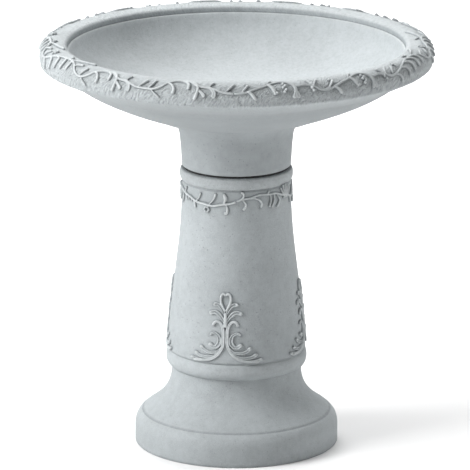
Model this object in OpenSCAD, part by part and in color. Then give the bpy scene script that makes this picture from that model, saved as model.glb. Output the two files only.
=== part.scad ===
// Two-part bird bath: a basin with a rolled rim and a flared neck that stands
// on the spigot of a hollow, ballast-filled pedestal. All sizes are in mm.
// The origin is the centre of the foot, +Z is up and -Y is the front.

/* [Basin] */
// Outer radius of the rim
rim_r = 255; // [240:1:270]
// Height of the rim's crest above the ground
crest_z = 537.4; // [535:0.1:550]
// Radial half-width of the rolled rim
roll_w = 18.5; // [16:0.5:20]
// Half-height of the rolled rim's outer side
roll_h = 17.2; // [16:0.1:20]
// Radial width of the roll's flatter inner side
inner_w = 17.5; // [16:0.5:18]
// How far the inner side falls from the crest to the bowl's upright wall
inner_h = 5.4; // [4:0.1:8]
// Height of the bowl's floor at its centre
floor_z = 450; // [448:1:456]
// Inner radius of the neck's socket
socket_r = 62; // [61.5:0.1:63]

/* [Joint between neck and pedestal] */
// Height of the pedestal's shoulder
shoulder_z = 371; // [368:0.5:374]
// Thickness of the rubber seat ring
seat_h = 2.4; // [1:0.1:4]
// Outer radius of the locating spigot
spigot_r = 60.5; // [58:0.1:61]
// Height of the spigot above the shoulder
spigot_h = 24; // [15:1:28]

/* [Pedestal] */
// Radius of the column at its neck
column_r = 71.2; // [70:0.1:74]
// How much wider the column is at its foot
column_swell = 19.8; // [15:0.1:22]
// Outer radius of the plinth
plinth_r = 133.2; // [130:0.1:150]
// Wall of the castings
wall = 8.5; // [7:0.1:10]

/* [Base plate and plug] */
// Thickness of the base plate
plate_h = 8; // [6:0.5:10]
// Radius of the filling hole
fill_r = 18; // [12:0.5:25]
// Radial clearance of the plug in its hole
plug_gap = 0.05; // [0.02:0.01:0.1]

/* [Relief] */
// Waves of the vine round the column
collar_waves = 3; // [3:1:4]
// Turn of the front scroll from straight ahead, in degrees
scroll_turn = -9.3; // [-45:0.1:45]

/* [Hidden] */

roll_c = [rim_r - roll_w, crest_z - roll_h];
neck_z = shoulder_z + seat_h;
// Exponent of the superellipse that shapes the roll's inner side
square = 2.2;
column_top_z = 352;
column_foot_z = 127.4;
recess_z = 4;
ledge_z = recess_z + plate_h;
recess_r = plinth_r - wall;
plate_r = recess_r - 0.2;
stone = [0.66, 0.69, 0.71];
pale_stone = [0.72, 0.75, 0.76];
$fn = 96;

// ---------- Curves ----------

// Points of an elliptical arc about c, from angle a0 to a1
function arc(c, rx, rz, a0, a1, n) =
    [for (i = [0:n]) let (a = a0 + (a1 - a0) * i / n) c + [rx * cos(a), rz * sin(a)]];

// Points of a cubic curve from p[0] to p[3]
function cubic(p, n) =
    [for (i = [0:n]) let (t = i / n, u = 1 - t)
        u * u * u * p[0] + 3 * t * u * u * p[1] + 3 * t * t * u * p[2] + t * t * t * p[3]];

// Point at parameter t of a smooth curve through the points of list p
function through(p, t) =
    let (n = len(p) - 1,
         i = min(floor(t), n - 1),
         f = t - i,
         a = p[max(i - 1, 0)],
         b = p[i],
         c = p[i + 1],
         d = p[min(i + 2, n)])
    0.5 * (2 * b + (c - a) * f + (2 * a - 5 * b + 4 * c - d) * f * f
           + (3 * b - a - 3 * c + d) * f * f * f);

// The same curve as a list of points, steps to each stretch
function smooth(p, steps) =
    [for (i = [0:(len(p) - 1) * steps]) through(p, i / steps)];

// Radius of the column's surface at height z
function column_at(z) =
    let (t = (column_top_z - z) / (column_top_z - 124),
         s = min(max((t - 0.02) / 1.08, 0), 1))
    column_r + column_swell * (1 - cos(180 * s)) / 2;

// ---------- Relief strokes ----------

// Closed tube through the points p, with radius r[i] at each; the ends taper to a point
module stroke(p, r, sides = 4) {
    n = len(p);
    function along(i) = let (d = p[min(i + 1, n - 1)] - p[max(i - 1, 0)]) d / norm(d);
    function across(i) =
        let (out = [p[i].x, p[i].y, 0] / norm([p[i].x, p[i].y, 0]),
             c = cross(along(i), out + [0, 0, 0.35]))
        c / norm(c);
    rings = [for (i = [0:n - 1]) let (u = across(i), v = cross(u, along(i)))
        for (k = [0:sides - 1]) p[i] + r[i] * (u * cos(360 * k / sides) + v * sin(360 * k / sides))];
    walls = [for (i = [0:n - 2]) for (k = [0:sides - 1])
        let (a = i * sides + k, b = i * sides + (k + 1) % sides)
        each [[a, b, b + sides], [a, b + sides, a + sides]]];
    start = [for (k = [sides - 1:-1:0]) k];
    end = [for (k = [0:sides - 1]) (n - 1) * sides + k];
    polyhedron(rings, concat(walls, [start, end]));
}

// Radii along a leaf of n points: root times w at the root, fullest at two thirds, rounded tip
function leaf_radii(n, w, root = 0.5) =
    [for (i = [0:n - 1])
        let (t = i / (n - 1))
        w * (root + (1 - root) * sin(135 * t)) * (t > 0.99 ? 0.45 : 1)];

// ---------- Rim vine ----------

// Height of the roll's inner side at a share x of its width inwards from the crest
function inner_z(x) = crest_z - inner_h * (1 - pow(1 - pow(x, square), 1 / square));

// Point on the rolled rim: a degrees round, s mm outwards from the crest, h mm proud
function rim_point(a, s, h) =
    let (f = 90 - s / roll_h * 180 / PI,
         x = min(max(-s, 0), inner_w - 0.3) / inner_w,
         q = s > 0 ? roll_c + [(roll_w + h) * cos(f), (roll_h + h) * sin(f)]
                   : [roll_c.x - inner_w * x, inner_z(x) + h])
    [q.x * cos(a), q.x * sin(a), q.y];

// The vine runs round in waves of three kinds, 0 to 2
WAVE_KINDS = [1, 1, 2, 2, 0, 1, 0, 0, 1, 0, 2, 2, 0, 0];
rim_waves = len(WAVE_KINDS);
first_trough = 269.3;

// Course of the stem over a wave of each kind: [share of the wave, mm outwards from the crest]
RIM_STEMS = [
    [[0, 19.5], [0.1, 19], [0.2, 13], [0.3, 6.5], [0.42, 4.4], [0.52, 7],
     [0.64, 12.7], [0.79, 15.7], [0.9, 19]],
    [[0, 20.5], [0.12, 19.2], [0.26, 13.9], [0.4, 8.8], [0.52, 4.9], [0.62, 8],
     [0.72, 12.8], [0.8, 11.9], [0.9, 14.8]],
    [[0, 18.5], [0.14, 16], [0.28, 10], [0.42, 5], [0.56, 3], [0.7, 3.5], [0.82, 8], [0.91, 15]]];

// Leaves of a wave of each kind: [half-width, places in the wave]
RIM_LEAVES = [
    [[1.2, [[0.05, 19.2], [0.11, 24], [0.17, 29]]],
     [1.5, [[0.03, 18.5], [0.07, 13.5], [0.1, 7]]],
     [1.9, [[0.24, 9], [0.3, 12.6], [0.33, 18], [0.315, 23]]],
     [1.9, [[0.42, 4.4], [0.47, 7.5], [0.495, 12.5], [0.48, 17]]],
     [1.9, [[0.5, 4], [0.555, 7], [0.6, 13.5], [0.59, 21.5], [0.56, 29]]],
     [2.2, [[0.6, 15.5], [0.65, 20.5], [0.685, 24.5]]],
     [2.4, [[0.67, 12.8], [0.745, 14.6], [0.785, 20.2], [0.765, 26]]],
     [1.5, [[0.9, 19], [0.95, 14], [1, 8]]]],
    [[1.5, [[0.08, 18.8], [0.13, 13.5], [0.155, 9]]],
     [2.1, [[0.14, 17], [0.2, 21.5], [0.245, 28]]],
     [2.2, [[0.37, 9.4], [0.42, 13], [0.455, 19.5]]],
     [2.2, [[0.61, 6.5], [0.67, 12], [0.69, 19], [0.66, 28]]],
     [2.4, [[0.675, 16], [0.705, 22], [0.722, 28]]],
     [1.5, [[0.9, 15], [0.93, 9.5], [0.965, 6]]]],
    [[1.7, [[0.06, 18], [0.13, 20], [0.17, 25], [0.165, 30]]],
     [1.8, [[0.22, 12], [0.3, 14], [0.34, 19], [0.335, 26]]],
     [1.9, [[0.34, 7], [0.43, 8.5], [0.475, 14], [0.475, 22]]],
     [1.9, [[0.48, 3.5], [0.57, 5.5], [0.615, 11], [0.615, 20]]],
     [1.8, [[0.62, 2.5], [0.7, 4.5], [0.745, 10], [0.745, 18]]],
     [1.6, [[0.66, 2.5], [0.8, -1.5], [0.92, -5.5], [1.04, -10]]]]];

// Berry clusters of a wave of each kind, each from one place to another
RIM_BERRIES = [
    [],
    [[[0.455, 20], [0.475, 20.5]], [[0.555, 9.5], [0.57, 19]], [[0.885, 11.5], [0.897, 19.5]]],
    [[[0.18, 2], [0.18, 7]], [[0.58, -4], [0.61, -1.5]]]];

// Azimuth of a share of wave w
function wave_azimuth(w, share) = first_trough + (w + share) * 360 / rim_waves;

module rim_vine() {
    color(pale_stone) union() {
        closed_stem([for (w = [0:rim_waves - 1]) for (q = RIM_STEMS[WAVE_KINDS[w]])
            rim_point(wave_azimuth(w, q[0]), q[1], 0.3)], 1.7);
        for (w = [0:rim_waves - 1]) {
            kind = WAVE_KINDS[w];
            for (leaf = RIM_LEAVES[kind])
                stroke([for (q = leaf[1]) rim_point(wave_azimuth(w, q[0]), q[1], 0.3)],
                       leaf_radii(len(leaf[1]), leaf[0]));
            for (cluster = RIM_BERRIES[kind])
                hull()
                    for (q = cluster)
                        translate(rim_point(wave_azimuth(w, q[0]), q[1], 0.2)) sphere(2.4, $fn = 6);
        }
    }
}

// Closed ring of tube through the points p
module closed_stem(p, r, sides = 4) {
    n = len(p);
    function along(i) = let (d = p[(i + 1) % n] - p[(i + n - 1) % n]) d / norm(d);
    function across(i) = let (c = cross(along(i), [p[i].x, p[i].y, 0])) c / norm(c);
    rings = [for (i = [0:n - 1]) let (u = across(i), v = cross(u, along(i)))
        for (k = [0:sides - 1]) p[i] + r * (u * cos(360 * k / sides) + v * sin(360 * k / sides))];
    walls = [for (i = [0:n - 1]) for (k = [0:sides - 1])
        let (j = (i + 1) % n, l = (k + 1) % sides, a = i * sides, b = j * sides)
        each [[a + k, a + l, b + l], [a + k, b + l, b + k]]];
    polyhedron(rings, walls);
}

// ---------- Vine and scrolls on the column ----------

// Point on the column: a degrees round, at height z, h mm proud
function column_point(a, z, h) =
    let (r = column_at(z) + h) [r * cos(a), r * sin(a), z];

// Height of the collar vine's stem at a degrees from the front
function collar_stem(a) =
    341.2 + 7 * sin(collar_waves * a - 2);

// Point on the column at a degrees from the front plus x mm round, y mm above the collar vine's stem
function collar_point(a, x, y) =
    column_point(270 + a + x / (2 * PI * column_r / 360), collar_stem(a) + y, 0.2);

// Leaves of one wave of the collar vine: [degrees from the front, half-width, points as [mm round, mm up]]
COLLAR_LEAVES = [
    [-51, 1.5, [[0, 0], [4, -4.5], [5, -11]]],
    [-46, 1.3, [[0, 0], [5.4, 6], [8.4, 13]]],
    [-30, 1.4, [[0, 0], [6.5, 7], [10, 16]]],
    [-14, 2.4, [[0, 0], [3.2, 7], [2.2, 14.5]]],
    [-11, 2.0, [[0, 0], [2.2, -6], [1.4, -11.5], [-2.6, -12]]],
    [3, 1.5, [[0, 0], [5.2, 4], [5.2, 9], [1.6, 10.5]]],
    [6, 1.8, [[0, 0], [4.4, -5.5], [4.4, -10], [0.8, -14.5]]],
    [14, 1.5, [[0, -1], [8, -1.2], [14, -4.6], [16, -9.5], [14, -14]]],
    [33, 1.2, [[0, 0], [2, 2.5], [4, 5]]],
    [37, 1.3, [[0, 0], [1.2, -8], [-1.5, -17]]],
    [42, 1.4, [[0, 0], [0.4, -9], [-4, -18]]],
    [46, 1.5, [[0, -1], [5, -8], [3.4, -14], [-0.4, -18]]]];

// Blades of the one fan of grass, and the short leaves in its place on the other waves
COLLAR_FAN = [[-5, 12], [-1, 14.5], [3.5, 15.5], [8, 13.5], [12.5, 10], [16, 6]];
COLLAR_SPRIG = [[[0, 0], [0.8, -8]], [[4, 0], [6.5, -7]], [[9, 0], [12, -7.5]]];

// A ring of berries below the stem
module collar_flower(turn) {
    for (k = [0:2]) {
        x = 2.9 * cos(120 * k);
        y = 2.9 * sin(120 * k) - 5.8;
        hull() {
            rotate([0, 0, turn]) translate(collar_point(-32, x, y)) sphere(1.8, $fn = 6);
            rotate([0, 0, turn]) translate(collar_point(-32, x * 0.6, (y - 5.8) / 2)) sphere(1.2, $fn = 6);
        }
    }
}

module collar_vine() {
    color(pale_stone) union() {
        closed_stem([for (i = [0:47]) column_point(270 + 7.5 * i, collar_stem(7.5 * i), 0.2)], 1.7);
        for (w = [0:collar_waves - 1]) {
            turn = w * 360 / collar_waves;
            collar_flower(turn);
            rotate([0, 0, turn]) {
                for (leaf = COLLAR_LEAVES)
                    stroke([for (q = leaf[2]) collar_point(leaf[0], q[0], q[1])],
                           leaf_radii(len(leaf[2]), leaf[1]));
                if (w == 1)
                    for (tip = COLLAR_FAN)
                        stroke([for (q = [[3, -4], [3 + (tip[0] - 3) * 0.45, tip[1] * 0.4 - 2.5], tip])
                            collar_point(-62, q[0], q[1])], leaf_radii(3, 1.4));
                else
                    for (sprig = COLLAR_SPRIG)
                        stroke([for (q = sprig) collar_point(-62, q[0], q[1])], leaf_radii(2, 1.4));
            }
        }
    }
}

// Half of a scroll as strokes: [half-width, root share, points as [mm from the centre line, height]]
SCROLL_LINES = [
    [1.6, 0.8, [[0.3, 197], [5.9, 209], [6.4, 214.6], [4.8, 219.2], [2.2, 220.2], [0.3, 217.2]]],
    [1.5, 0.9, [[0.5, 199], [0.9, 172]]],
    [2.4, 0.4, [[0.6, 191], [3.4, 198.5], [8.6, 205.4], [16.6, 206.2]]],
    [2.6, 0.35, [[0.7, 180], [4.4, 188.5], [12.6, 195.8], [22, 193.6]]],
    [1.9, 0.9, [[45, 130], [29, 131], [17, 134.4], [8.2, 142], [3.2, 152], [2.2, 164], [2.6, 174],
                [6.2, 181.4], [11, 184], [15, 181.6], [16.2, 177.6]]],
    [2.4, 0.6, [[20.6, 165.6], [15.4, 168.6], [9.6, 165.6], [7.4, 159.5], [9.2, 153], [14.8, 150],
                [22, 154.6]]],
    [2.1, 0.45, [[4.4, 150.5], [11, 144], [20, 142.2], [28, 144.8], [33.4, 150.4]]],
    [2.2, 0.45, [[7.6, 143], [17, 137.6], [28, 136], [36, 137.4], [41.8, 141.4]]],
    [2.2, 0.45, [[14, 136.4], [25, 132], [38, 131], [49, 133.6]]]];

module scroll_line(turn, side, line) {
    route = smooth(line[2], 2);
    stroke([for (q = route) column_point(turn + side * q[0] / column_at(q[1]) * 180 / PI, q[1], 0.2)],
           leaf_radii(len(route), line[0], line[1]));
}

// Round ends of the scroll's leaves
module scroll_tip(turn, side, line) {
    tip = line[2][len(line[2]) - 1];
    before = line[2][len(line[2]) - 2];
    hull() {
        for (q = [tip, tip + 0.2 * (before - tip)])
            translate(column_point(turn + side * q[0] / column_at(q[1]) * 180 / PI, q[1], 0.2))
                sphere(line[0], $fn = 6);
    }
}

module scroll(turn) {
    color(pale_stone) union() {
        for (side = [-1, 1]) {
            for (line = SCROLL_LINES) {
                scroll_line(turn, side, line);
                if (line[0] > 1.6) scroll_tip(turn, side, line);
            }
        }
    }
}

module scroll_1() { scroll(270 + scroll_turn); }
module scroll_2() { scroll(360 + scroll_turn); }
module scroll_3() { scroll(90 + scroll_turn); }
module scroll_4() { scroll(180 + scroll_turn); }

// ---------- Castings ----------

module basin() {
    bowl = cubic([[0, floor_z], [128, floor_z], [204, floor_z + 26], [216.6, crest_z - 11.6]], 24);
    ledge = [[217.4, crest_z - 10.7], [218.6, crest_z - 10.4], [219.1, crest_z - 9.8]];
    inner_roll = [for (x = [1, 0.985, 0.95, 0.9, 0.8, 0.65, 0.5, 0.35, 0.2])
        [roll_c.x - inner_w * x, inner_z(x)]];
    outer_roll = arc(roll_c, roll_w, roll_h, 90, -18, 18);
    under_edge = cubic([[254, 512], [253.8, 508.6], [250, 508], [245.9, 506.2]], 5);
    band_foot = cubic([[213.6, 490.3], [211.5, 489], [210, 487.2], [206.5, 484.7]], 4);
    under_bowl = cubic([[206.5, 484.7], [182, 468.5], [146, 453.9], [109.2, 441.2]], 16);
    flare = cubic([[107, 439.8], [91, 436.5], [77.6, 434], [74.4, 417]], 12);
    neck = cubic([[74.4, 417], [72.6, 404], [71.8, 388], [71.2, neck_z + 1]], 6);
    socket = concat([[socket_r + 1, neck_z], [socket_r, neck_z + 1], [socket_r, 406]],
                    cubic([[socket_r, 406], [62.5, 424], [66, 437], [80, 438]], 8));
    color(stone) rotate_extrude(angle = 360)
        polygon(concat(bowl, ledge, inner_roll, outer_roll, under_edge, band_foot, under_bowl, flare, neck,
                       [[70.2, neck_z]], socket, [[0, 439]]));
}

module pedestal() {
    plinth = concat([[plinth_r - 1.2, 0], [plinth_r, 1.2], [plinth_r, 21]],
                    cubic([[plinth_r, 21], [plinth_r, 33], [129, 38], [124.6, 41.8]], 8));
    skirt = cubic([[122, 44.2], [103, 57], [84.6, 70], [84.6, 103.5]], 14);
    lower_bead = concat(arc([84.6, 116.5], 7.5, 12.5, -90, 0, 8), arc([88.6, 116.5], 3.5, 9.5, 0, 90, 6));
    column = [for (i = [0:36])
        let (z = column_foot_z + (column_top_z - column_foot_z) * i / 36)
        [column_at(z), z]];
    upper_bead = arc([column_r - 1, 363], 3.7, shoulder_z - 363, -90, 90, 14);
    spigot_z = shoulder_z + spigot_h;
    spigot = [[spigot_r, shoulder_z], [spigot_r, spigot_z - 3], [spigot_r - 3, spigot_z], [0, spigot_z]];
    cap = [[0, spigot_z - wall], [spigot_r - wall, spigot_z - wall], [spigot_r - wall, shoulder_z - 6],
           [column_r - wall, 352]];
    hollow = [for (i = [0:20]) let (z = 348 - (348 - 132) * i / 20) [column_at(z) - wall, z]];
    foot = concat([[81, 122], [78, 112]],
                  cubic([[76.4, 100], [76.4, 62], [98, 44], [118, 31]], 12),
                  [[recess_r - 5, 26], [recess_r - 5, ledge_z], [recess_r, ledge_z], [recess_r, 0]]);
    color(stone) rotate_extrude(angle = 360)
        polygon(concat(plinth, [[122.4, 42.4]], skirt, lower_bead, column, upper_bead, spigot, cap,
                       hollow, foot));
}

// Flat rubber ring that the neck sits on
module seat_ring() {
    color([0.1, 0.1, 0.1]) translate([0, 0, shoulder_z])
        difference() {
            cylinder(h = seat_h, r = 69.2);
            translate([0, 0, -1]) cylinder(h = seat_h + 2, r = spigot_r + 0.8);
        }
}

// Disc that closes the foot, with a hole for filling the pedestal with ballast
module base_plate() {
    color(stone) translate([0, 0, recess_z])
        difference() {
            cylinder(h = plate_h, r = plate_r);
            translate([0, 0, -1]) cylinder(h = plate_h + 2, r = fill_r);
        }
}

// Flanged rubber bung with a domed inner end and a grip slot across its flange
module filler_plug() {
    shank_r = fill_r - plug_gap;
    color([0.12, 0.12, 0.12]) difference() {
        rotate_extrude(angle = 360)
            polygon([[0, 1.4], [23, 1.4], [24, 2.2], [24, recess_z], [shank_r, recess_z],
                     [shank_r, ledge_z], [shank_r - 1.5, ledge_z + 2], [0, ledge_z + 2.6]]);
        translate([-14, -2, 0]) cube([28, 4, 5]);
    }
}

basin();
rim_vine();
seat_ring();
pedestal();
collar_vine();
scroll_1();
scroll_2();
scroll_3();
scroll_4();
base_plate();
filler_plug();
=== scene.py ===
"""Looks of the two-part stone bird bath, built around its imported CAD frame.

Profiles and relief are worked out in millimetres and turned into metres when a mesh is made.
A surface place is (u, v): u is the azimuth in degrees, and v is mm outwards from the rim's crest, or the
height on the column.
"""

import math

import bpy
import numpy as np
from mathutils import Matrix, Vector, kdtree, noise


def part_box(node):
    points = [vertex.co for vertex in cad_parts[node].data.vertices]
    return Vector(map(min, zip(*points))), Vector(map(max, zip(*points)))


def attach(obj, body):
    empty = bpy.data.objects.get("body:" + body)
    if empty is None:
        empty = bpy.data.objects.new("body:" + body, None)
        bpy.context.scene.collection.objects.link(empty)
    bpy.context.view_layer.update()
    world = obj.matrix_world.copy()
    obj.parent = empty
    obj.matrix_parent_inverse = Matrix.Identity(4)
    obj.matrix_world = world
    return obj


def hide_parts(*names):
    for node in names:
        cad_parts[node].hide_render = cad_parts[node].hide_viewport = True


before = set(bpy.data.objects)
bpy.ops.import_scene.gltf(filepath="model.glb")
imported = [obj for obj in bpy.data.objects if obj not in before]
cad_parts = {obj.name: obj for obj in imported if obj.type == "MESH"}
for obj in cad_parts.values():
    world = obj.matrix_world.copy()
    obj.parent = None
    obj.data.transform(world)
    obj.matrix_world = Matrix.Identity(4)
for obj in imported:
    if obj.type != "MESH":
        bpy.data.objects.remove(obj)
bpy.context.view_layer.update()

MM = 0.001
FRONT = -90.0  # azimuth that faces the camera


# ---------------------------------------------------------------- sizes, from the frame


def box_mm(node):
    low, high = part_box(node)
    return np.array(low) / MM, np.array(high) / MM


BASIN_LOW, BASIN_HIGH = box_mm("basin")
RING_LOW = box_mm("seat_ring")[0]
PEDESTAL_HIGH = box_mm("pedestal")[1]
PLATE_HIGH = box_mm("base_plate")[1]

RIM_R = round(BASIN_HIGH[0], 1)
CREST_Z = BASIN_HIGH[2]
NECK_Z = BASIN_LOW[2]
SHOULDER_Z = RING_LOW[2]
SPIGOT_Z = PEDESTAL_HIGH[2]
PLINTH_R = round(PEDESTAL_HIGH[0], 1)
PLATE_TOP = PLATE_HIGH[2]

ROLL_W, ROLL_H = 18.5, 17.2
INNER_W, INNER_H, SQUARE = 17.5, 5.4, 2.2  # the roll's inner side is flatter than its outer side
ROLL_C = np.array([RIM_R - ROLL_W, CREST_Z - ROLL_H])
FLOOR_Z = CREST_Z - 87.4
SOCKET_R = 62.0
SPIGOT_R = 60.5
COLUMN_R, COLUMN_SWELL = 71.2, 19.8
COLUMN_TOP, COLUMN_FOOT = SHOULDER_Z - 19, 127.4
WALL = 8.5
RECESS_R = PLINTH_R - WALL


# ---------------------------------------------------------------- curves


def arc(centre, rx, rz, start, end, count):
    """Points of an elliptical arc between two angles in degrees."""
    f = np.radians(np.linspace(start, end, count + 1))
    return np.array(centre) + np.stack([rx * np.cos(f), rz * np.sin(f)], 1)


def cubic(a, b, c, d, count):
    """Points of a cubic curve from a to d."""
    t = np.linspace(0, 1, count + 1)[:, None]
    u = 1 - t
    a, b, c, d = (np.array(p, float) for p in (a, b, c, d))
    return u**3 * a + 3 * t * u**2 * b + 3 * t**2 * u * c + t**3 * d


def smooth_line(points, step):
    """A smooth curve through the points, sampled about every step mm."""
    p = np.array(points, float)
    p = np.vstack([2 * p[0] - p[1], p, 2 * p[-1] - p[-2]])
    out = []
    for a, b, c, d in zip(p[:-3], p[1:-2], p[2:-1], p[3:]):
        count = max(2, int(math.ceil(np.linalg.norm(c - b) / step)))
        t = np.arange(count)[:, None] / count
        out.append(
            0.5 * (2 * b + (c - a) * t + (2 * a - 5 * b + 4 * c - d) * t**2 + (3 * b - a - 3 * c + d) * t**3)
        )
    return np.vstack(out + [p[-2][None]])


def smoothstep(low, high, x):
    t = np.clip((np.asarray(x, float) - low) / (high - low), 0, 1)
    return t * t * (3 - 2 * t)


def column_radius(z):
    """Radius of the column's surface at height z."""
    t = (COLUMN_TOP - np.asarray(z, float)) / (COLUMN_TOP - 124)
    s = np.clip((t - 0.02) / 1.08, 0, 1)
    return COLUMN_R + COLUMN_SWELL * (1 - np.cos(np.pi * s)) / 2


SLANT = -42.0  # degrees by which the hammer strokes on the rim slant


def slanted(points, length):
    """Points moved to a flat strip, shortened along the hammer strokes so that noise there comes out long."""
    around = np.arctan2(points[:, 0], -points[:, 1]) * RIM_R
    across = (np.hypot(points[:, 0], points[:, 1]) - points[:, 2]) * 0.8
    c, d = math.cos(math.radians(SLANT)), math.sin(math.radians(SLANT))
    return np.stack([(around * c + across * d) / length, across * c - around * d, 0 * across], 1)


def field(points, size, seed):
    """Smooth noise from -1 to 1 at each point, with features about size mm across."""
    shift = Vector((seed * 7.1, seed * 3.7, seed * 5.3))
    return np.array([noise.noise(Vector(p) / size + shift) for p in points])


# ---------------------------------------------------------------- places on the surfaces


def inner_z(x):
    """Height of the roll's inner side at a share x of its width inwards from the crest."""
    return CREST_Z - INNER_H * (1 - (1 - np.asarray(x, float) ** SQUARE) ** (1 / SQUARE))


def on_rim(u, v, h):
    """Points on the rolled rim, h mm proud of it."""
    v = np.asarray(v, float)
    f = np.pi / 2 - v / ROLL_H
    inward = np.clip(-v, 0, INNER_W - 0.3) / INNER_W
    r = ROLL_C[0] + np.where(v > 0, (ROLL_W + h) * np.cos(f), -INNER_W * inward)
    z = np.where(v > 0, ROLL_C[1] + (ROLL_H + h) * np.sin(f), inner_z(inward) + h)
    a = np.radians(u)
    return np.stack([r * np.cos(a), r * np.sin(a), z], -1)


def on_column(u, v, h):
    """Points on the column and the lower half of the bead above it, h mm proud."""
    z = np.asarray(v, float)
    bead = 3.7 * np.sqrt(np.clip(1 - ((z - 363) / 8) ** 2, 0, 1)) - 1
    r = np.where(z > COLUMN_TOP + 2, np.maximum(COLUMN_R + bead, column_radius(z)), column_radius(z)) + h
    a = np.radians(u)
    return np.stack([r * np.cos(a), r * np.sin(a), z], -1)


RIM_MM_PER_DEG = 2 * math.pi * (RIM_R - 6) / 360


# ---------------------------------------------------------------- relief strokes


def stroke_mesh(route, mm_per_deg, surface, width, height, groove=0.0, root=0.55, tip=1.0):
    """One closed relief stroke laid on a surface: (vertices, faces).

    route is a list of (degrees, mm) places. The stroke swells from root * width to width and ends round, and
    groove is how deep its middle is sunk, as a share of its height."""
    line = smooth_line([(u * mm_per_deg, v) for u, v in route], 1.1)
    step = np.diff(line, axis=0)
    run = np.concatenate([[0], np.cumsum(np.linalg.norm(step, axis=1))])
    t = run / run[-1]
    along = np.gradient(line, axis=0)
    along /= np.linalg.norm(along, axis=1)[:, None]
    side = np.stack([-along[:, 1], along[:, 0]], 1)
    blunt = min(0.45, width * 0.9 / run[-1])
    ends = np.sqrt(np.clip(1 - np.clip((t - 1 + blunt) / blunt, 0, 1) ** 2, 0.02, 1))
    ends *= np.sqrt(np.clip(1 - np.clip((blunt - t) / blunt, 0, 1) ** 2, 0.02, 1))
    half = width * (root + (1 - root) * smoothstep(0, 0.7, t))
    half = half * (1 + (tip - 1) * smoothstep(0.6, 0.9, t)) * ends
    rise = height * (0.85 + 0.15 * smoothstep(0, 0.5, t)) * np.sqrt(ends)
    hollow = groove * smoothstep(0.0, 0.18, t) * (1 - smoothstep(0.82, 0.93, t))
    one_side = np.array([0.22, 0.46, 0.68, 0.86, 0.97, 1.02, 1.25])
    across = np.concatenate([-one_side[::-1], [0], one_side])
    bell = np.sqrt(1 - np.clip(np.abs(across), 0, 1) ** 3)
    dent = np.exp(-((across / 0.45) ** 2))
    h = rise[:, None] * (bell[None] - hollow[:, None] * dent[None]) - 0.1
    flat = line[:, None] + side[:, None] * (half[:, None, None] * across[None, :, None])
    flat = np.concatenate([flat, flat[:, -1:], flat[:, :1]], 1)
    h = np.concatenate([h, np.full((len(t), 2), -1.1)], 1)
    verts = surface(flat[..., 0] / mm_per_deg, flat[..., 1], h)
    rows, cols = verts.shape[:2]
    faces = [
        (i * cols + j, i * cols + (j + 1) % cols, (i + 1) * cols + (j + 1) % cols, (i + 1) * cols + j)
        for i in range(rows - 1)
        for j in range(cols)
    ]
    faces.append(tuple(range(cols))[::-1])
    faces.append(tuple((rows - 1) * cols + j for j in range(cols)))
    return verts.reshape(-1, 3), faces


def knob_mesh(place, mm_per_deg, surface, radius, height):
    """A round, slightly flattened berry on a surface: (vertices, faces)."""
    u, v = place
    rings, cols = 6, 14
    q = np.linspace(0, 1, rings + 1)[1:]
    turn = np.linspace(0, 2 * np.pi, cols, endpoint=False)
    du = radius * q[:, None] * np.cos(turn)[None] / mm_per_deg
    dv = radius * q[:, None] * np.sin(turn)[None]
    h = np.repeat(height * np.sqrt(1 - q**2)[:, None], cols, 1)
    h[-1] = -1.1
    verts = [surface(np.array([u]), np.array([v]), np.array([height]))]
    verts.append(surface(u + du, v + dv, h).reshape(-1, 3))
    faces = [(0, 1 + j, 1 + (j + 1) % cols) for j in range(cols)]
    for i in range(rings - 1):
        a, b = 1 + i * cols, 1 + (i + 1) * cols
        faces += [(a + j, b + j, b + (j + 1) % cols, a + (j + 1) % cols) for j in range(cols)]
    faces.append(tuple(1 + (rings - 1) * cols + j for j in range(cols))[::-1])
    return np.vstack(verts), faces


class Relief:
    """Strokes and berries gathered into one relief, with the centre lines used to darken the stone beside."""

    def __init__(self, surface, mm_per_deg):
        self.surface, self.mm_per_deg = surface, mm_per_deg
        self.verts, self.faces, self.centres, self.count = [], [], [], 0

    def add(self, verts, faces):
        self.verts.append(verts)
        self.faces += [tuple(i + self.count for i in f) for f in faces]
        self.count += len(verts)

    def stroke(self, route, width, height, **shape):
        self.add(*stroke_mesh(route, self.mm_per_deg, self.surface, width, height, **shape))
        line = smooth_line([(u * self.mm_per_deg, v) for u, v in route], 1.5)
        self.centres.append(self.surface(line[:, 0] / self.mm_per_deg, line[:, 1], 0.0))

    def offsets(self, place, moves, width, height, **shape):
        """A stroke from a place, through points given as (mm around, mm along) from it."""
        u, v = place
        self.stroke([(u + x / self.mm_per_deg, v + y) for x, y in moves], width, height, **shape)

    def knob(self, place, radius, height):
        self.add(*knob_mesh(place, self.mm_per_deg, self.surface, radius, height))
        self.centres.append(self.surface(np.array([place[0]]), np.array([place[1]]), np.array([0.0])))


# ---------------------------------------------------------------- rim vine

# The vine runs round in waves of three kinds.
# A place in a wave is (share of the wave, mm outwards from the crest).
WAVE_KINDS = "BBCCABAABACCAA"
RIM_WAVES = len(WAVE_KINDS)
WAVE_DEG = 360 / RIM_WAVES
FIRST_TROUGH = FRONT - 0.7
RIM_STEMS = {
    "A": [(0, 19.5), (0.09, 19.2), (0.17, 15.7), (0.22, 11.3), (0.28, 7.5), (0.35, 4.8), (0.42, 4.4),
          (0.5, 5.5), (0.57, 10.5), (0.64, 12.7), (0.7, 13.6), (0.79, 15.7), (0.88, 18.9)],
    "B": [(0, 20.5), (0.1, 19.6), (0.18, 17.2), (0.26, 13.9), (0.35, 11), (0.44, 7.1), (0.52, 4.9),
          (0.6, 6.5), (0.66, 11), (0.72, 12.8), (0.8, 11.9), (0.9, 14.8)],
    "C": [(0, 18.5), (0.14, 16), (0.28, 10), (0.42, 5), (0.56, 3), (0.7, 3.5), (0.82, 8), (0.91, 15)],
}
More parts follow.
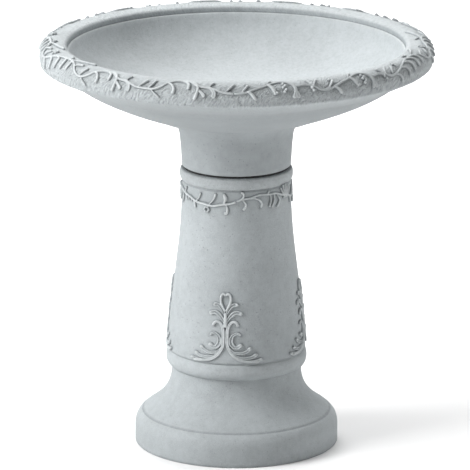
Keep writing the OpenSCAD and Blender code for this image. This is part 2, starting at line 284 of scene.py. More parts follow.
# (half-width, sunk middle, places)
RIM_LEAVES = {
    "A": [
        (1.2, 0, [(0.05, 19.2), (0.11, 24), (0.17, 29)]),
        (1.5, 0, [(0.03, 18.5), (0.07, 13.5), (0.1, 7)]),
        (2.0, 0, [(0.24, 9), (0.3, 12.6), (0.33, 18), (0.315, 23)]),
        (2.0, 0, [(0.4, 4.4), (0.47, 7.5), (0.495, 12.5), (0.48, 17)]),
        (2.0, 0, [(0.47, 2.5), (0.555, 7), (0.6, 13.5), (0.59, 21.5), (0.56, 29)]),
        (2.3, 0.2, [(0.6, 15.5), (0.65, 20.5), (0.685, 24.5)]),
        (2.6, 0.35, [(0.67, 12.8), (0.745, 14.6), (0.785, 20.2), (0.765, 26)]),
        (1.2, 0, [(0.73, 12), (0.75, 8.5), (0.78, 5.5)]),
        (1.5, 0, [(0.9, 19), (0.95, 14), (1.0, 8)]),
    ],
    "B": [
        (1.5, 0, [(0.08, 18.8), (0.13, 13.5), (0.155, 9)]),
        (2.2, 0, [(0.14, 17), (0.2, 21.5), (0.245, 28)]),
        (2.3, 0, [(0.37, 9.4), (0.42, 13), (0.455, 19.5)]),
        (1.2, 0, [(0.36, 9.5), (0.39, 6), (0.43, 3)]),
        (2.3, 0.3, [(0.61, 6.5), (0.67, 12), (0.69, 19), (0.66, 28)]),
        (2.6, 0.35, [(0.675, 16), (0.705, 22), (0.722, 28)]),
        (1.3, 0, [(0.87, 12), (0.85, 7.5), (0.83, 4.5)]),
        (1.5, 0, [(0.9, 15), (0.93, 9.5), (0.965, 6)]),
    ],
    "C": [
        (1.7, 0.2, [(0.06, 18), (0.13, 20), (0.17, 25), (0.165, 30)]),
        (1.8, 0.2, [(0.22, 12), (0.3, 14), (0.34, 19), (0.335, 26)]),
        (1.9, 0.2, [(0.34, 7), (0.43, 8.5), (0.475, 14), (0.475, 22)]),
        (1.9, 0.2, [(0.48, 3.5), (0.57, 5.5), (0.615, 11), (0.615, 20)]),
        (1.8, 0.2, [(0.62, 2.5), (0.7, 4.5), (0.745, 10), (0.745, 18)]),
        (1.3, 0, [(0.02, 17), (0.05, 11), (0.09, 6)]),
        (1.6, 0, [(0.66, 2.5), (0.8, -1.5), (0.92, -5.5), (1.04, -10)]),
        (1.3, 0, [(0.84, 10), (0.92, 6), (0.98, 4.5)]),
    ],
}
RIM_BERRIES = {
    "A": [],
    "B": [(0.12, 8.2), (0.45, 21), (0.475, 20), (0.553, 9), (0.575, 11.8), (0.55, 14), (0.58, 16.6),
          (0.56, 19.4), (0.885, 11.5), (0.905, 14.2), (0.88, 16.6), (0.897, 20)],
    "C": [(0.18, 1.5), (0.2, 4.5), (0.155, 4.5), (0.18, 7.5), (0.58, -4), (0.61, -1.5)],
}


def in_wave(w, places):
    return [(FIRST_TROUGH + (w + share) * WAVE_DEG, out) for share, out in places]


def rim_vine():
    """The vine round the rim: a waving stem, with the leaves and berries of each wave's kind."""
    vine = Relief(on_rim, RIM_MM_PER_DEG)
    stem = [place for w, kind in enumerate(WAVE_KINDS) for place in in_wave(w, RIM_STEMS[kind])]
    vine.stroke(stem + [(stem[0][0] + 360, stem[0][1])], 1.45, 2.6, root=1.0)
    for w, kind in enumerate(WAVE_KINDS):
        for width, groove, places in RIM_LEAVES[kind]:
            vine.stroke(in_wave(w, places), width, 3.1, groove=groove, tip=1.15)
        for place in in_wave(w, RIM_BERRIES[kind]):
            vine.knob(place, 2.0, 3.3)
    return vine


# ---------------------------------------------------------------- relief on the column

COLUMN_MM_PER_DEG = 2 * math.pi * COLUMN_R / 360
COLLAR_WAVES = 3


def collar_stem(u):
    """Height of the collar vine's stem at an azimuth, measured from the front."""
    return 341.2 + 7 * math.sin(math.radians(COLLAR_WAVES * u - 2)) + 0.6 * math.sin(math.radians(18 * u))


# The flower that hangs below the stem: petals, their distance from its middle, and its middle below the stem
PETALS, FLOWER_R, FLOWER_DROP = 6, 3.3, 6.2
# Leaves of one wave of the collar vine:
# (degrees from the front, half-width, moves in (mm around, mm up) from the stem)
COLLAR_LEAVES = [
    (-51, 1.5, [(0, 0), (4, -4.5), (5, -11)]),
    (-46, 1.2, [(0, 0), (5.4, 6), (8.4, 13)]),
    (-30, 1.4, [(0, 0), (6.5, 7), (9.5, 13), (10.4, 17)]),
    (-11, 2.0, [(0, 0), (2.2, -6), (1.4, -11.5), (-2.6, -12)]),
    (3, 1.5, [(0, 0), (5.2, 4), (5.2, 9), (1.6, 10.5)]),
    (6, 1.8, [(0, 0), (4.4, -5.5), (4.4, -10), (0.8, -14.5)]),
    (14, 1.5, [(0, -1), (8, -1.2), (14, -4.6), (16, -9.5), (14, -14)]),
    (33, 1.2, [(0, 0), (2, 2.5), (4, 5)]),
    (37, 1.3, [(0, 0), (1.2, -8), (-1.5, -17)]),
    (42, 1.4, [(0, 0), (0.4, -9), (-4, -18)]),
    (46, 1.5, [(0, -1), (5, -8), (3.4, -14), (-0.4, -18)]),
]
COLLAR_SPRIG = [[(0, 0), (0.8, -8)], [(4, 0), (5.5, -3.5), (6.5, -7)], [(9, 0), (11, -3), (12, -7.5)]]
COLLAR_FAN = [(-8, 11), (-3.5, 14.5), (1.5, 15.5), (6.5, 14.5), (11, 12), (15.5, 8.5)]


def collar_vine():
    """The vine round the top of the column: three like waves, one of them with a fan of grass between."""
    vine = Relief(on_column, COLUMN_MM_PER_DEG)
    vine.stroke([(FRONT + 4 * i, collar_stem(4 * i)) for i in range(91)], 1.6, 2.7, root=1.0)
    for w in range(COLLAR_WAVES):
        turn = 360 * w / COLLAR_WAVES

        def at(u):
            return FRONT + turn + u, collar_stem(u)

        for u, width, moves in COLLAR_LEAVES:
            vine.offsets(at(u), moves, width, 2.7, tip=1.25)
        vine.offsets(at(-14), [(0, 0), (3.2, 6), (2.6, 11), (1.4, 14.5)], 2.9, 3.2, root=0.3, tip=0.75)
        for k in range(PETALS):
            f = 2 * math.pi * k / PETALS
            around, height = at(-32)
            around = around + FLOWER_R * math.cos(f) / COLUMN_MM_PER_DEG
            vine.knob((around, height - FLOWER_DROP + FLOWER_R * math.sin(f)), 1.8, 3.0)
        if w == 1:
            for k, (x, y) in enumerate(COLLAR_FAN):
                foot = 1.9 * k - 2
                moves = [(foot, -4.5), (foot + 1.2, -1), ((foot + x) / 2, y * 0.55), (x, y)]
                vine.offsets(at(-62), moves, 1.05, 3.2)
        else:
            vine.knob((at(-63)[0], at(-63)[1] + 8), 2.0, 2.8)
            vine.offsets(at(-66), [(0, 0), (2, 4), (3.4, 7)], 1.2, 2.5)
            for moves in COLLAR_SPRIG:
                vine.offsets(at(-62), moves, 1.3, 2.5)
    return vine


# One side of a leaf scroll:
# (half-width, root share, sunk middle, points as (mm from its centre line, height))
SCROLL_TURN = FRONT - 9.3
SCROLL_LINES = [
    (1.6, 0.8, 0.0, [(0.3, 197), (3, 202.6), (5.9, 209), (6.4, 214.6), (4.8, 219.2), (2.2, 220.2),
                     (0.3, 217.2)]),
    (2.6, 0.4, 0.75, [(0.6, 191), (3.4, 198.5), (8.6, 205.4), (16.6, 206.2)]),
    (2.9, 0.35, 0.75, [(0.7, 180), (4.4, 188.5), (12.6, 195.8), (22, 193.6)]),
    (1.5, 0.6, 0.0, [(0.6, 196), (0.7, 188), (0.8, 176)]),
    (1.9, 0.9, 0.3, [(45, 130), (29, 131), (17, 134.4), (8.2, 142), (3.2, 152), (2.5, 164), (3, 174),
                     (6.2, 181.4), (11, 184), (15, 181.6), (16.2, 177.6)]),
    (2.7, 0.6, 0.7, [(20.6, 165.6), (15.4, 168.6), (9.6, 165.6), (7.4, 159.5), (9.2, 153), (14.8, 150),
                     (22, 154.6)]),
    (2.2, 0.45, 0.65, [(4.4, 150.5), (11, 144), (20, 142.2), (28, 144.8), (33.4, 150.4)]),
    (2.3, 0.45, 0.65, [(7.6, 143), (17, 137.6), (28, 136), (36, 137.4), (41.8, 141.4)]),
    (2.3, 0.45, 0.65, [(14, 136.4), (25, 132), (38, 131), (49, 133.6)]),
]


def leaf_scroll(turn):
    """One upright leaf scroll, the same on both sides of its centre line."""
    scroll = Relief(on_column, COLUMN_MM_PER_DEG)
    for side in (-1, 1):
        for width, root, groove, points in SCROLL_LINES:
            route = [(turn + side * x / (math.pi * column_radius(z) / 180), z) for x, z in points]
            scroll.stroke(route, width, 3.2, groove=groove, root=root)
    return scroll


# ---------------------------------------------------------------- meshes


def new_piece(name, verts, faces, smooth=True):
    """A mesh object in metres from points in mm."""
    mesh = bpy.data.meshes.new(name)
    mesh.from_pydata((np.asarray(verts) * MM).tolist(), [], faces)
    mesh.validate()
    mesh.update()
    mesh.polygons.foreach_set("use_smooth", [smooth] * len(mesh.polygons))
    piece = bpy.data.objects.new(name, mesh)
    bpy.context.scene.collection.objects.link(piece)
    return piece


def points_of(piece):
    """The piece's vertices in mm."""
    co = np.empty(len(piece.data.vertices) * 3)
    piece.data.vertices.foreach_get("co", co)
    return co.reshape(-1, 3) / MM


def paint(piece, name, values):
    """Stores a number for each vertex, which the material reads by name."""
    layer = piece.data.attributes.new(name, "FLOAT", "POINT")
    layer.data.foreach_set("value", np.asarray(values, np.float32))


def applied(piece, **settings):
    """Adds a modifier and bakes it into the mesh."""
    kind = settings.pop("kind")
    modifier = piece.modifiers.new(kind, kind)
    for key, value in settings.items():
        setattr(modifier, key, value)
    graph = bpy.context.evaluated_depsgraph_get()
    mesh = bpy.data.meshes.new_from_object(piece.evaluated_get(graph))
    piece.modifiers.clear()
    piece.data = mesh
    return piece


def cast_relief(name, relief, body, node, height_of, voxel, dust):
    """Fuses a relief's strokes into one cast skin, and paints how far each point stands proud."""
    piece = new_piece(name, np.vstack(relief.verts), relief.faces)
    applied(piece, kind="REMESH", mode="VOXEL", voxel_size=voxel * MM, adaptivity=0.0, use_smooth_shade=True)
    applied(piece, kind="SMOOTH", factor=0.5, iterations=1)
    lift = height_of(points_of(piece))
    # paler on the relief's tops: dry-brushed paint and painted highlight
    paint(piece, "dust", dust * smoothstep(1.4, 2.7, lift))
    # darker at the relief's foot: washed-in paint and painted shade
    paint(piece, "wash", 0.6 * (1 - smoothstep(0.2, 1.8, lift)))
    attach(piece, body)
    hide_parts(node)
    return piece


def lift_on_rim(p):
    out = np.hypot(p[:, 0], p[:, 1]) - ROLL_C[0]
    outer = (np.hypot(out / ROLL_W, (p[:, 2] - ROLL_C[1]) / ROLL_H) - 1) * (ROLL_W + ROLL_H) / 2
    return np.where(out > 0, outer, p[:, 2] - inner_z(np.clip(-out / INNER_W, 0, 1)))


def lift_on_column(p):
    base = on_column(np.zeros(len(p)), p[:, 2], 0.0)
    return np.hypot(p[:, 0], p[:, 1]) - base[:, 0]


class Profile:
    """The outline of a turned shape, gathered stretch by stretch with its mesh spacing and surface marks."""

    # Marks two and three are dry-brushed and washed-in paint mixed with painted highlight and painted shade;
    # the last is painted shade under the bowl.
    MARKS = ("stipple", "dust", "wash", "streak", "tone")

    def __init__(self):
        self.points, self.spacing, self.marks = [], [], []

    def stretch(self, points, spacing, **marks):
        """Adds points about every spacing mm. A mark is one value, or a pair from first to last."""
        p = np.array(points, float)
        if self.points:
            p = np.vstack([self.points[-1][None], p])
        run = np.concatenate([[0], np.cumsum(np.linalg.norm(np.diff(p, axis=0), axis=1))])
        count = max(1, int(round(run[-1] / spacing)))
        at = np.linspace(0, run[-1], count + 1)
        first = 1 if self.points else 0
        for k in range(first, count + 1):
            self.points.append(np.array([np.interp(at[k], run, p[:, 0]), np.interp(at[k], run, p[:, 1])]))
            self.spacing.append(spacing)
            values = []
            for mark in self.MARKS:
                value = marks.get(mark, 0.0)
                low, high = value if isinstance(value, tuple) else (value, value)
                values.append(low + (high - low) * k / count)
            self.marks.append(values)

    def columns(self, most):
        """Columns of each ring: powers of two that at most double from ring to ring."""
        want = [
            int(min(most, max(16, 2 ** math.ceil(math.log2(max(2 * math.pi * p[0] / s, 16) / 1.25)))))
            for p, s in zip(self.points, self.spacing)
        ]
        for i in range(1, len(want)):
            want[i] = min(want[i], want[i - 1] * 2)
        for i in range(len(want) - 2, -1, -1):
            want[i] = min(want[i], want[i + 1] * 2)
        return want


def turned(name, profile, most, outward, displace):
    """A closed turned mesh.

    outward is +1 where the outline's left side is outside, -1 where its right side is.
    displace(points, marks) gives how far each vertex moves out along the surface, in mm."""
    rings = np.array(profile.points)
    marks = np.array(profile.marks)
    columns = profile.columns(most)
    way = np.gradient(rings, axis=0)
    way /= np.linalg.norm(way, axis=1)[:, None]
    normal = outward * np.stack([-way[:, 1], way[:, 0]], 1)
    columns[0] = columns[-1] = 1
    verts, normals, painted, first = [], [], [], []
    for ring, mark, side, count in zip(rings, marks, normal, columns):
        a = np.linspace(0, 2 * np.pi, count, endpoint=False)
        first.append(sum(len(v) for v in verts))
        verts.append(np.stack([ring[0] * np.cos(a), ring[0] * np.sin(a), np.full(count, ring[1])], 1))
        normals.append(np.stack([side[0] * np.cos(a), side[0] * np.sin(a), np.full(count, side[1])], 1))
        painted.append(np.repeat(mark[None], count, 0))
    verts, normals, painted = np.vstack(verts), np.vstack(normals), np.vstack(painted)
    verts = verts + normals * displace(verts, painted)[:, None]
    faces = []
    for i in range(len(rings) - 1):
        a, b, n, m = first[i], first[i + 1], columns[i], columns[i + 1]
        if n == 1:
            faces += [(a, b + j, b + (j + 1) % m) for j in range(m)]
        elif m == 1:
            faces += [(a + j, b, a + (j + 1) % n) for j in range(n)]
        elif n == m:
            faces += [(a + j, b + j, b + (j + 1) % m, a + (j + 1) % n) for j in range(n)]
        elif m == 2 * n:
            for j in range(n):
                k = (j + 1) % n
                faces += [(a + j, b + 2 * j, b + 2 * j + 1), (a + j, b + 2 * j + 1, a + k),
                          (a + k, b + 2 * j + 1, b + (2 * j + 2) % m)]
        else:
            for j in range(m):
                k = (j + 1) % m
                faces += [(a + 2 * j, b + j, a + 2 * j + 1), (a + 2 * j + 1, b + j, b + k),
                          (a + 2 * j + 1, b + k, a + (2 * j + 2) % n)]
    if outward < 0:
        faces = [f[::-1] for f in faces]
    piece = new_piece(name, verts, faces)
    for k, mark in enumerate(Profile.MARKS):
        paint(piece, mark, painted[:, k])
    return piece


def darken_beside(piece, centres, reach):
    """Darkens the stone beside the lines of a relief: painted shade at the relief's foot, partly also
    washed-in dark paint.
    """
    tree = kdtree.KDTree(len(centres))
    for i, c in enumerate(centres):
        tree.insert(c, i)
    tree.balance()
    points = points_of(piece)
    values = np.empty(len(points), np.float32)
    layer = piece.data.attributes["wash"]
    layer.data.foreach_get("value", values)
    for i, p in enumerate(points):
        away = tree.find(p)[2]
        if away < 3 * reach:
            # painted shade beside the relief, fading with distance from its lines
            values[i] = max(values[i], 0.4 * math.exp(-((away / reach) ** 2)))
    layer.data.foreach_set("value", values)


def basin():
    """The basin casting: bowl, rolled rim with its hammered band, underside, flare, neck and socket."""
    rim, plain = 1.65, 5.0
    p = Profile()
    # paler bowl and crest: dry-brushed paint and painted highlight
    p.stretch(cubic((0, FLOOR_Z), (128, FLOOR_Z), (204, FLOOR_Z + 26), (216.6, CREST_Z - 11.6), 80), plain,
              dust=(0.5, 0.3))
    # painted highlight on the lip's ledge
    p.stretch([(217.4, CREST_Z - 10.7), (218.6, CREST_Z - 10.4)], 0.8, dust=0.6)
    # painted shade in the groove under the lip
    p.stretch([(219.1, CREST_Z - 9.8)], 0.8, wash=0.5)
    x = np.array([1, 0.985, 0.95, 0.9, 0.8, 0.7, 0.6, 0.5, 0.4, 0.3, 0.2, 0.1, 0])
    inner = np.stack([ROLL_C[0] - INNER_W * x, inner_z(x)], 1)
    # painted shade on the rim's inner wall
    p.stretch(inner[:2], 1.0, wash=(0.3, 0.1), stipple=0.3)
    p.stretch(inner[1:5], 1.2, stipple=(0.3, 0.6), wash=(0.1, 0.0), dust=(0.3, 0.55))
    p.stretch(inner[4:], rim, stipple=0.6, dust=(0.55, 0.35))
    p.stretch(arc(ROLL_C, ROLL_W, ROLL_H, 90, 30, 30), rim, stipple=(0.6, 1.0), dust=(0.3, 0.15))
    p.stretch(arc(ROLL_C, ROLL_W, ROLL_H, 28, -18, 20), rim, stipple=1.0, dust=(0.15, 0.0))
    p.stretch(cubic((254, 512), (253.8, 508.6), (250, 508), (245.9, 506.2), 6), rim, stipple=(1.0, 0.5))
    # painted shade: darker under the bowl and on its neck, where the bowl shades them
    p.stretch([(213.6, 490.3)], rim * 1.4, streak=0.6, stipple=(0.4, 0.0), dust=(0, 0.2), tone=(0.1, 0.45))
    p.stretch(cubic((213.6, 490.3), (211.5, 489), (210, 487.2), (206.5, 484.7), 8), 1.5,
              dust=(0.3, 0.1), streak=0.6, tone=0.45)
    p.stretch(cubic((206.5, 484.7), (182, 468.5), (146, 453.9), (109.2, 441.2), 40), plain,
              streak=1.0, tone=0.45)
    # painted shade in the crease above the flare
    p.stretch([(108.0, 440.2)], 1.0, wash=0.35)
    p.stretch(cubic((107.2, 439.8), (91, 436.5), (77.6, 434), (74.4, 417), 24), 2.6,
              streak=0.6, tone=(0.45, 0.3))
    p.stretch(cubic((74.4, 417), (72.6, 404), (71.8, 388), (71.2, NECK_Z + 1.2), 24), 3.0,
              streak=0.6, tone=(0.3, 0.2))
    p.stretch([(70.9, NECK_Z + 0.3), (70.2, NECK_Z), (SOCKET_R + 1, NECK_Z), (SOCKET_R, NECK_Z + 1)], 2.5)
    # painted shade inside the socket
    p.stretch([(SOCKET_R, NECK_Z + 32.6)], 6.0, wash=0.4)
    p.stretch(cubic((SOCKET_R, 406), (62.5, 424), (66, 437), (80, 438), 12), 6.0, wash=0.5)
    p.stretch([(0, 439)], 9.0, wash=0.5)

    def displace(points, marks):
        hammer = field(slanted(points, 2.2), 3.0, 1) * 0.5 + field(points, 6.5, 2) * 0.3
        return marks[:, 0] * hammer + field(points, 70, 3) * 0.35 * (points[:, 2] > NECK_Z + 2)

    piece = turned("basin_casting", p, 1024, 1, displace)
    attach(piece, "basin")
    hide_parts("basin")
    return piece


def pedestal():
    """The pedestal casting: hollow, plinth, skirt, lower bead, column, upper bead and spigot."""
    cove_foot = RECESS_R - 5
    p = Profile()
    # painted shade inside the hollow, down to the plate
    p.stretch([(0, SPIGOT_Z - WALL), (SPIGOT_R - WALL, SPIGOT_Z - WALL), (SPIGOT_R - WALL, SHOULDER_Z - 6),
               (COLUMN_R - WALL, COLUMN_TOP)], 9, wash=0.5)
    inside = np.linspace(348, 132, 21)
    p.stretch(np.stack([column_radius(inside) - WALL, inside], 1), 9, wash=0.5)
    p.stretch([(81, 122), (78, 112)], 6, wash=0.5)
    p.stretch(cubic((76.4, 100), (76.4, 62), (98, 44), (118, 31), 12), 7, wash=0.5)
    p.stretch([(cove_foot, 26), (cove_foot, PLATE_TOP), (RECESS_R, PLATE_TOP), (RECESS_R, 0)], 6, wash=0.4)
    # painted shade at the plinth's foot and in the creases round the skirt and lower bead; dry-brushed paint
    # and painted highlight on the plinth and skirt
    p.stretch([(PLINTH_R - 1.2, 0), (PLINTH_R, 1.2)], 1.5, wash=0.1)
    p.stretch([(PLINTH_R, 21)], 3.2, dust=0.1)
    p.stretch(cubic((PLINTH_R, 21), (PLINTH_R, 33), (129, 38), (124.6, 41.8), 16), 2.4, dust=(0.1, 0.2))
    p.stretch([(123.2, 42.2), (122.6, 43.0)], 0.8, wash=0.3)
    p.stretch(cubic((121.8, 44.2), (103, 57), (84.6, 70), (84.6, 103), 30), 2.8, dust=(0.15, 0))
    p.stretch([(84.5, 103.9)], 0.9, wash=0.4)
    p.stretch(arc((84.6, 116.5), 7.5, 12.5, -88, 0, 16), 1.5, dust=(0, 0.25))
    p.stretch(arc((88.6, 116.5), 3.5, 9.7, 0, 86, 12), 1.5, dust=(0.25, 0.1))
    p.stretch([(89.0, 126.6), (90.2, 127.4)], 0.8, wash=0.3)
    shaft = np.linspace(COLUMN_FOOT + 0.8, COLUMN_TOP, 80)
    p.stretch(np.stack([column_radius(shaft), shaft], 1), 2.3, dust=0.05)
    # painted shade in the fillet under the upper bead
    p.stretch([(COLUMN_R - 0.9, COLUMN_TOP + 2.6), (COLUMN_R - 0.8, COLUMN_TOP + 3.4)], 1.0, wash=0.35)
    bead = arc((COLUMN_R - 1, 363), 3.7, SHOULDER_Z - 363, -84, 90, 24)
    p.stretch(bead[:18], 1.1, dust=(0.2, 0.4), stipple=0.3, streak=0.8)
    # painted shadow on the bead's top under the seat ring
    p.stretch(bead[18:], 1.1, dust=(0.3, 0.0), wash=(0.0, 0.75), stipple=0.3)
    # painted shade on the spigot and its top, inside the joint
    p.stretch([(SPIGOT_R, SHOULDER_Z), (SPIGOT_R, SPIGOT_Z - 3), (SPIGOT_R - 3, SPIGOT_Z)], 2.5, wash=0.3)
    p.stretch([(0, SPIGOT_Z)], 7, wash=0.2)

    def displace(points, marks):
        shown = smoothstep(0.5, 3, points[:, 2]) * (points[:, 2] < SHOULDER_Z - 1)
        outside = np.hypot(points[:, 0], points[:, 1]) > 69
        return shown * outside * (field(points, 55, 4) * 0.3 + field(points, 14, 5) * 0.08)

    piece = turned("pedestal_casting", p, 512, 1, displace)
    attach(piece, "pedestal")
    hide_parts("pedestal")
    return piece


# ---------------------------------------------------------------- materials


class Shader:
    """A node material under construction."""

    def __init__(self, name):
        self.material = bpy.data.materials.new(name)
        self.material.use_nodes = True
        self.tree = self.material.node_tree
        self.surface = self.tree.nodes["Principled BSDF"]
        self.place = self.node("ShaderNodeTexCoord").outputs["Object"]

    def node(self, kind, inputs=None, **settings):
        made = self.tree.nodes.new(kind)
        for key, value in settings.items():
            setattr(made, key, value)
        for key, value in (inputs or {}).items():
            self.set(made.inputs[key], value)
        return made

    def set(self, socket, value):
        if isinstance(value, bpy.types.NodeSocket):
            self.tree.links.new(value, socket)
        else:
            socket.default_value = value

    def math(self, operation, a, b=0.0, clamp=False):
        made = self.node("ShaderNodeMath", operation=operation, use_clamp=clamp)
        self.set(made.inputs[0], a)
        self.set(made.inputs[1], b)
        return made.outputs[0]

    def noise(self, size_mm, detail=3.0, rough=0.55, stretch=(1, 1, 1)):
        """Noise from 0 to 1 with features about size_mm across, longer where stretch is above 1."""
        scale = [1 / (size_mm * MM * s) for s in stretch]
        mapped = self.node("ShaderNodeMapping", {"Vector": self.place, "Scale": scale})
        made = self.node("ShaderNodeTexNoise", {"Vector": mapped.outputs[0], "Scale": 1.0, "Detail": detail,
                                                "Roughness": rough})
        return made.outputs[0]

    def slanted_noise(self, size_mm, length):
        """Noise in short strokes that slant across the rim, length times as long as they are wide."""
        x, y, z = self.node("ShaderNodeSeparateXYZ", {"Vector": self.place}).outputs
        away = self.math("SQRT", self.math("ADD", self.math("POWER", x, 2.0), self.math("POWER", y, 2.0)))
        around = self.math("MULTIPLY", self.math("ARCTAN2", x, self.math("MULTIPLY", y, -1.0)), RIM_R * MM)
        across = self.math("MULTIPLY", self.math("SUBTRACT", away, z), 0.8)
        c, d = math.cos(math.radians(SLANT)), math.sin(math.radians(SLANT))
        one = self.math("ADD", self.math("MULTIPLY", around, c), self.math("MULTIPLY", across, d))
        two = self.math("SUBTRACT", self.math("MULTIPLY", across, c), self.math("MULTIPLY", around, d))
        flat = self.node("ShaderNodeCombineXYZ", {"X": self.math("DIVIDE", one, length * size_mm * MM),
                                                  "Y": self.math("DIVIDE", two, size_mm * MM)})
        made = self.node("ShaderNodeTexNoise", {"Vector": flat.outputs[0], "Scale": 1.0, "Detail": 2.0,
                                                "Roughness": 0.6})
        return made.outputs[0]

    def spots(self, size_mm, edge):
        """Small round spots, 1 inside and 0 outside."""
        made = self.node("ShaderNodeTexVoronoi", {"Vector": self.place, "Scale": 1 / (size_mm * MM)})
        return self.ramp(made.outputs["Distance"], edge * 0.5, edge, 1.0, 0.0)

    def ramp(self, value, low, high, first=0.0, last=1.0):
        limits = {"From Min": low, "From Max": high, "To Min": first, "To Max": last}
        made = self.node("ShaderNodeMapRange", limits, interpolation_type="SMOOTHSTEP")
        self.set(made.inputs["Value"], value)
        return made.outputs[0]

    def attribute(self, name):
        return self.node("ShaderNodeAttribute", attribute_name=name).outputs["Fac"]

    def mix(self, share, a, b):
        made = self.node("ShaderNodeMix", data_type="RGBA")
        self.set(made.inputs[0], share)
        self.set(made.inputs[6], a)
        self.set(made.inputs[7], b)
        return made.outputs[2]

    def bump(self, height, depth_mm, under=None):
        made = self.node("ShaderNodeBump", {"Height": height, "Distance": depth_mm * MM, "Strength": 1.0})
        if under is not None:
            self.set(made.inputs["Normal"], under)
        return made.outputs[0]


def stone(name, dark, light, haze, grain_mm=0.9, speckle=0.5, grit=0.22):
    """Weathered stone: patches, mottling, grain and pores; paler where marked, partly dry-brushed paint and
    partly painted highlight; darker in creases, partly washed-in paint and partly painted shade; painted
    shade under the bowl.
    """
    s = Shader(name)
    patches = s.noise(85, 2)
    mottle = s.noise(11, 5, 0.62)
    grain = s.noise(grain_mm, 2, 0.6)
    pores = s.spots(5.5, 0.16)
    cloud = s.math("ADD", s.math("MULTIPLY", patches, 0.45), s.math("MULTIPLY", mottle, 0.55))
    body = s.mix(s.ramp(cloud, 0.32, 0.68), dark, light)
    flecks = s.math("MULTIPLY", s.ramp(grain, 0.55, 0.78), speckle)
    body = s.mix(flecks, body, haze)
    pits = s.math("MULTIPLY", s.ramp(grain, 0.45, 0.25), speckle * 0.6)
    deep = tuple(c * 0.45 for c in dark[:3]) + (1,)
    body = s.mix(pits, body, deep)
    body = s.mix(s.math("MULTIPLY", pores, 0.35), body, deep)
    worn = s.ramp(s.noise(4, 4, 0.7), 0.3, 0.62, 0.35, 1.0)
    # paler where marked: dry-brushed paint and painted highlight
    rub_and_highlight = s.math("MULTIPLY", s.attribute("dust"), worn, clamp=True)
    body = s.mix(rub_and_highlight, body, haze)
    # darker where marked: washed-in paint and painted shade
    wash_and_shade_share = s.math("MULTIPLY", s.attribute("wash"), s.ramp(s.noise(7, 3), 0.25, 0.6, 0.55, 0.9), clamp=True)
    body = s.mix(wash_and_shade_share, body, tuple(c * 0.32 for c in dark[:3]) + (1,))
    hammer = s.slanted_noise(2.1, 2.4)
    body = s.mix(s.math("MULTIPLY", s.ramp(hammer, 0.5, 0.7, 0.0, 0.45), s.attribute("stipple")), body, haze)
    body = s.mix(s.math("MULTIPLY", s.ramp(hammer, 0.47, 0.3, 0.0, 0.4), s.attribute("stipple")), body, deep)
    # painted shade under the bowl and on its neck
    body = s.mix(s.attribute("tone"), body, tuple(c * 0.6 for c in dark[:3]) + (1,))
    s.set(s.surface.inputs["Base Color"], body)
    s.set(s.surface.inputs["Roughness"], s.ramp(mottle, 0.3, 0.7, 0.66, 0.88))
    s.surface.inputs["Specular IOR Level"].default_value = 0.28
    normal = s.bump(grain, grit)
    normal = s.bump(s.math("MULTIPLY", pores, -1.0), 0.35, normal)
    normal = s.bump(s.math("MULTIPLY", hammer, s.attribute("stipple")), 3.4, normal)
    streaks = s.math("MULTIPLY", s.noise(2.4, 3, 0.6, (30, 30, 1)), s.attribute("streak"))
    normal = s.bump(streaks, 0.45, normal)
    s.set(s.surface.inputs["Normal"], normal)
    return s.material


def rubber(name):
    """Matt black moulded rubber with a fine grain and a few dusty marks."""
    s = Shader(name)
    dust = s.ramp(s.noise(9, 4, 0.65), 0.52, 0.75, 0.0, 0.35)
    s.set(s.surface.inputs["Base Color"], s.mix(dust, (0.012, 0.012, 0.013, 1), (0.09, 0.09, 0.088, 1)))
    s.set(s.surface.inputs["Roughness"], s.ramp(s.noise(3, 2), 0.3, 0.7, 0.6, 0.8))
    s.surface.inputs["Specular IOR Level"].default_value = 0.35
    s.set(s.surface.inputs["Normal"], s.bump(s.noise(0.7, 2), 0.12))
    return s.material


def floor_material():
    """Plain white, glowing faintly away from the object, so that the far floor stays as pale as the near."""
    s = Shader("studio_floor")
    place = s.node("ShaderNodeSeparateXYZ", {"Vector": s.place})
    squares = [s.math("POWER", place.outputs[axis], 2.0) for axis in (0, 1)]
    away = s.math("SQRT", s.math("ADD", *squares))
    s.surface.inputs["Base Color"].default_value = (0.82, 0.82, 0.82, 1)
    s.surface.inputs["Roughness"].default_value = 0.9
    s.surface.inputs["Specular IOR Level"].default_value = 0.1
    s.surface.inputs["Emission Color"].default_value = (1, 1, 1, 1)
    s.set(s.surface.inputs["Emission Strength"], s.ramp(away, 0.12, 1.1, 0.07, 0.55))
    return s.material


def dress(thing, material):
    """Gives a piece or a CAD node its material."""
    thing.data.materials.clear()
    thing.data.materials.append(material)


# ---------------------------------------------------------------- studio


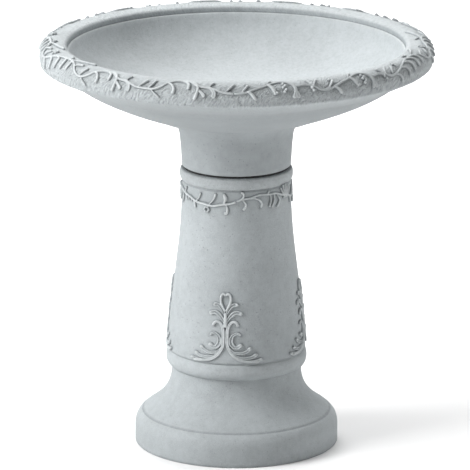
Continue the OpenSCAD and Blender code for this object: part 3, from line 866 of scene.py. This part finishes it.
def studio():
    """Camera at the photograph's angle, a pale floor and soft light, strongest from the left."""
    scene = bpy.context.scene
    scene.view_settings.view_transform = "Standard"
    camera = bpy.data.objects.new("camera", bpy.data.cameras.new("camera"))
    camera.location = (0, -6.1208, 1.9185)
    camera.rotation_euler = (math.radians(90 - 15.01), 0, 0)
    camera.data.lens = 371.4
    camera.data.sensor_width = 36
    camera.data.shift_x = -0.003
    camera.data.clip_end = 60
    scene.collection.objects.link(camera)
    scene.camera = camera

    bpy.ops.mesh.primitive_plane_add(size=40)
    floor = bpy.context.object
    floor.name = "studio_floor"
    dress(floor, floor_material())

    world = bpy.data.worlds.new("studio")
    scene.world = world
    world.use_nodes = True
    tree = world.node_tree
    way = tree.nodes.new("ShaderNodeTexCoord")
    height = tree.nodes.new("ShaderNodeSeparateXYZ")
    level = tree.nodes.new("ShaderNodeMath")
    level.operation = "ABSOLUTE"
    glow = tree.nodes.new("ShaderNodeMapRange")
    for socket, value in (("From Min", 0.05), ("From Max", 0.07), ("To Min", 0.8), ("To Max", 0.03)):
        glow.inputs[socket].default_value = value
    tree.links.new(way.outputs["Generated"], height.inputs[0])
    tree.links.new(height.outputs["Z"], level.inputs[0])
    tree.links.new(level.outputs[0], glow.inputs["Value"])
    tree.links.new(glow.outputs[0], tree.nodes["Background"].inputs["Strength"])
    tree.nodes["Background"].inputs["Color"].default_value = (1, 1, 1, 1)

    def softbox(name, azimuth, elevation, away, size, power):
        """A soft light at an azimuth from the camera's side, negative to the left, aimed at the bird bath."""
        lamp = bpy.data.objects.new(name, bpy.data.lights.new(name, "AREA"))
        lamp.data.shape = "RECTANGLE"
        lamp.data.size, lamp.data.size_y = size
        lamp.data.energy = power
        a, e = math.radians(azimuth), math.radians(elevation)
        way = Vector((math.sin(a) * math.cos(e), -math.cos(a) * math.cos(e), math.sin(e)))
        lamp.location = Vector((0, 0, 0.35)) + away * way
        lamp.rotation_euler = (-way).to_track_quat("-Z", "Y").to_euler()
        scene.collection.objects.link(lamp)

    softbox("key", -72, 32, 2.6, (1.4, 1.4), 80)
    softbox("upper_left", -48, 55, 3.0, (1.4, 1.4), 24)
    softbox("top_back", 180, 55, 3.0, (2.2, 2.2), 92)
    softbox("right", 97, 25, 2.8, (1.6, 1.6), 26)


# ---------------------------------------------------------------- the bird bath

studio()

BASIN_STONE = stone("basin_stone", (0.315, 0.34, 0.35, 1), (0.395, 0.425, 0.438, 1), (0.56, 0.59, 0.6, 1),
                    speckle=0.25)
RELIEF_STONE = stone("relief_stone", (0.315, 0.34, 0.35, 1), (0.41, 0.44, 0.452, 1), (0.6, 0.625, 0.63, 1),
                     speckle=0.2, grit=0.12)
PEDESTAL_STONE = stone("pedestal_stone", (0.31, 0.335, 0.345, 1), (0.385, 0.415, 0.428, 1),
                       (0.55, 0.58, 0.59, 1), speckle=0.6, grit=0.3)
BASE_STONE = stone("base_stone", (0.25, 0.27, 0.28, 1), (0.34, 0.36, 0.37, 1), (0.45, 0.47, 0.48, 1),
                   speckle=0.7, grit=0.5)
RUBBER = rubber("black_rubber")

rim_relief = rim_vine()
basin_piece = basin()
darken_beside(basin_piece, np.vstack(rim_relief.centres), 3.0)
dress(basin_piece, BASIN_STONE)
dress(cast_relief("rim_vine_relief", rim_relief, "basin", "rim_vine", lift_on_rim, 0.55, 0.55), RELIEF_STONE)

collar_relief = collar_vine()
scroll_turns = [SCROLL_TURN + 90 * k for k in range(4)]
scroll_reliefs = [leaf_scroll(turn) for turn in scroll_turns]
pedestal_piece = pedestal()
scroll_centres = sum((relief.centres for relief in scroll_reliefs), [])
darken_beside(pedestal_piece, np.vstack(collar_relief.centres + scroll_centres), 2.6)
dress(pedestal_piece, PEDESTAL_STONE)
piece = cast_relief("collar_vine_relief", collar_relief, "pedestal", "collar_vine", lift_on_column, 0.45, 0.8)
dress(piece, RELIEF_STONE)
for k, relief in enumerate(scroll_reliefs, 1):
    piece = cast_relief(f"scroll_{k}_relief", relief, "pedestal", f"scroll_{k}", lift_on_column, 0.4, 0.6)
    dress(piece, RELIEF_STONE)

dress(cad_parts["base_plate"], BASE_STONE)
dress(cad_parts["seat_ring"], RUBBER)
dress(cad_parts["filler_plug"], RUBBER)
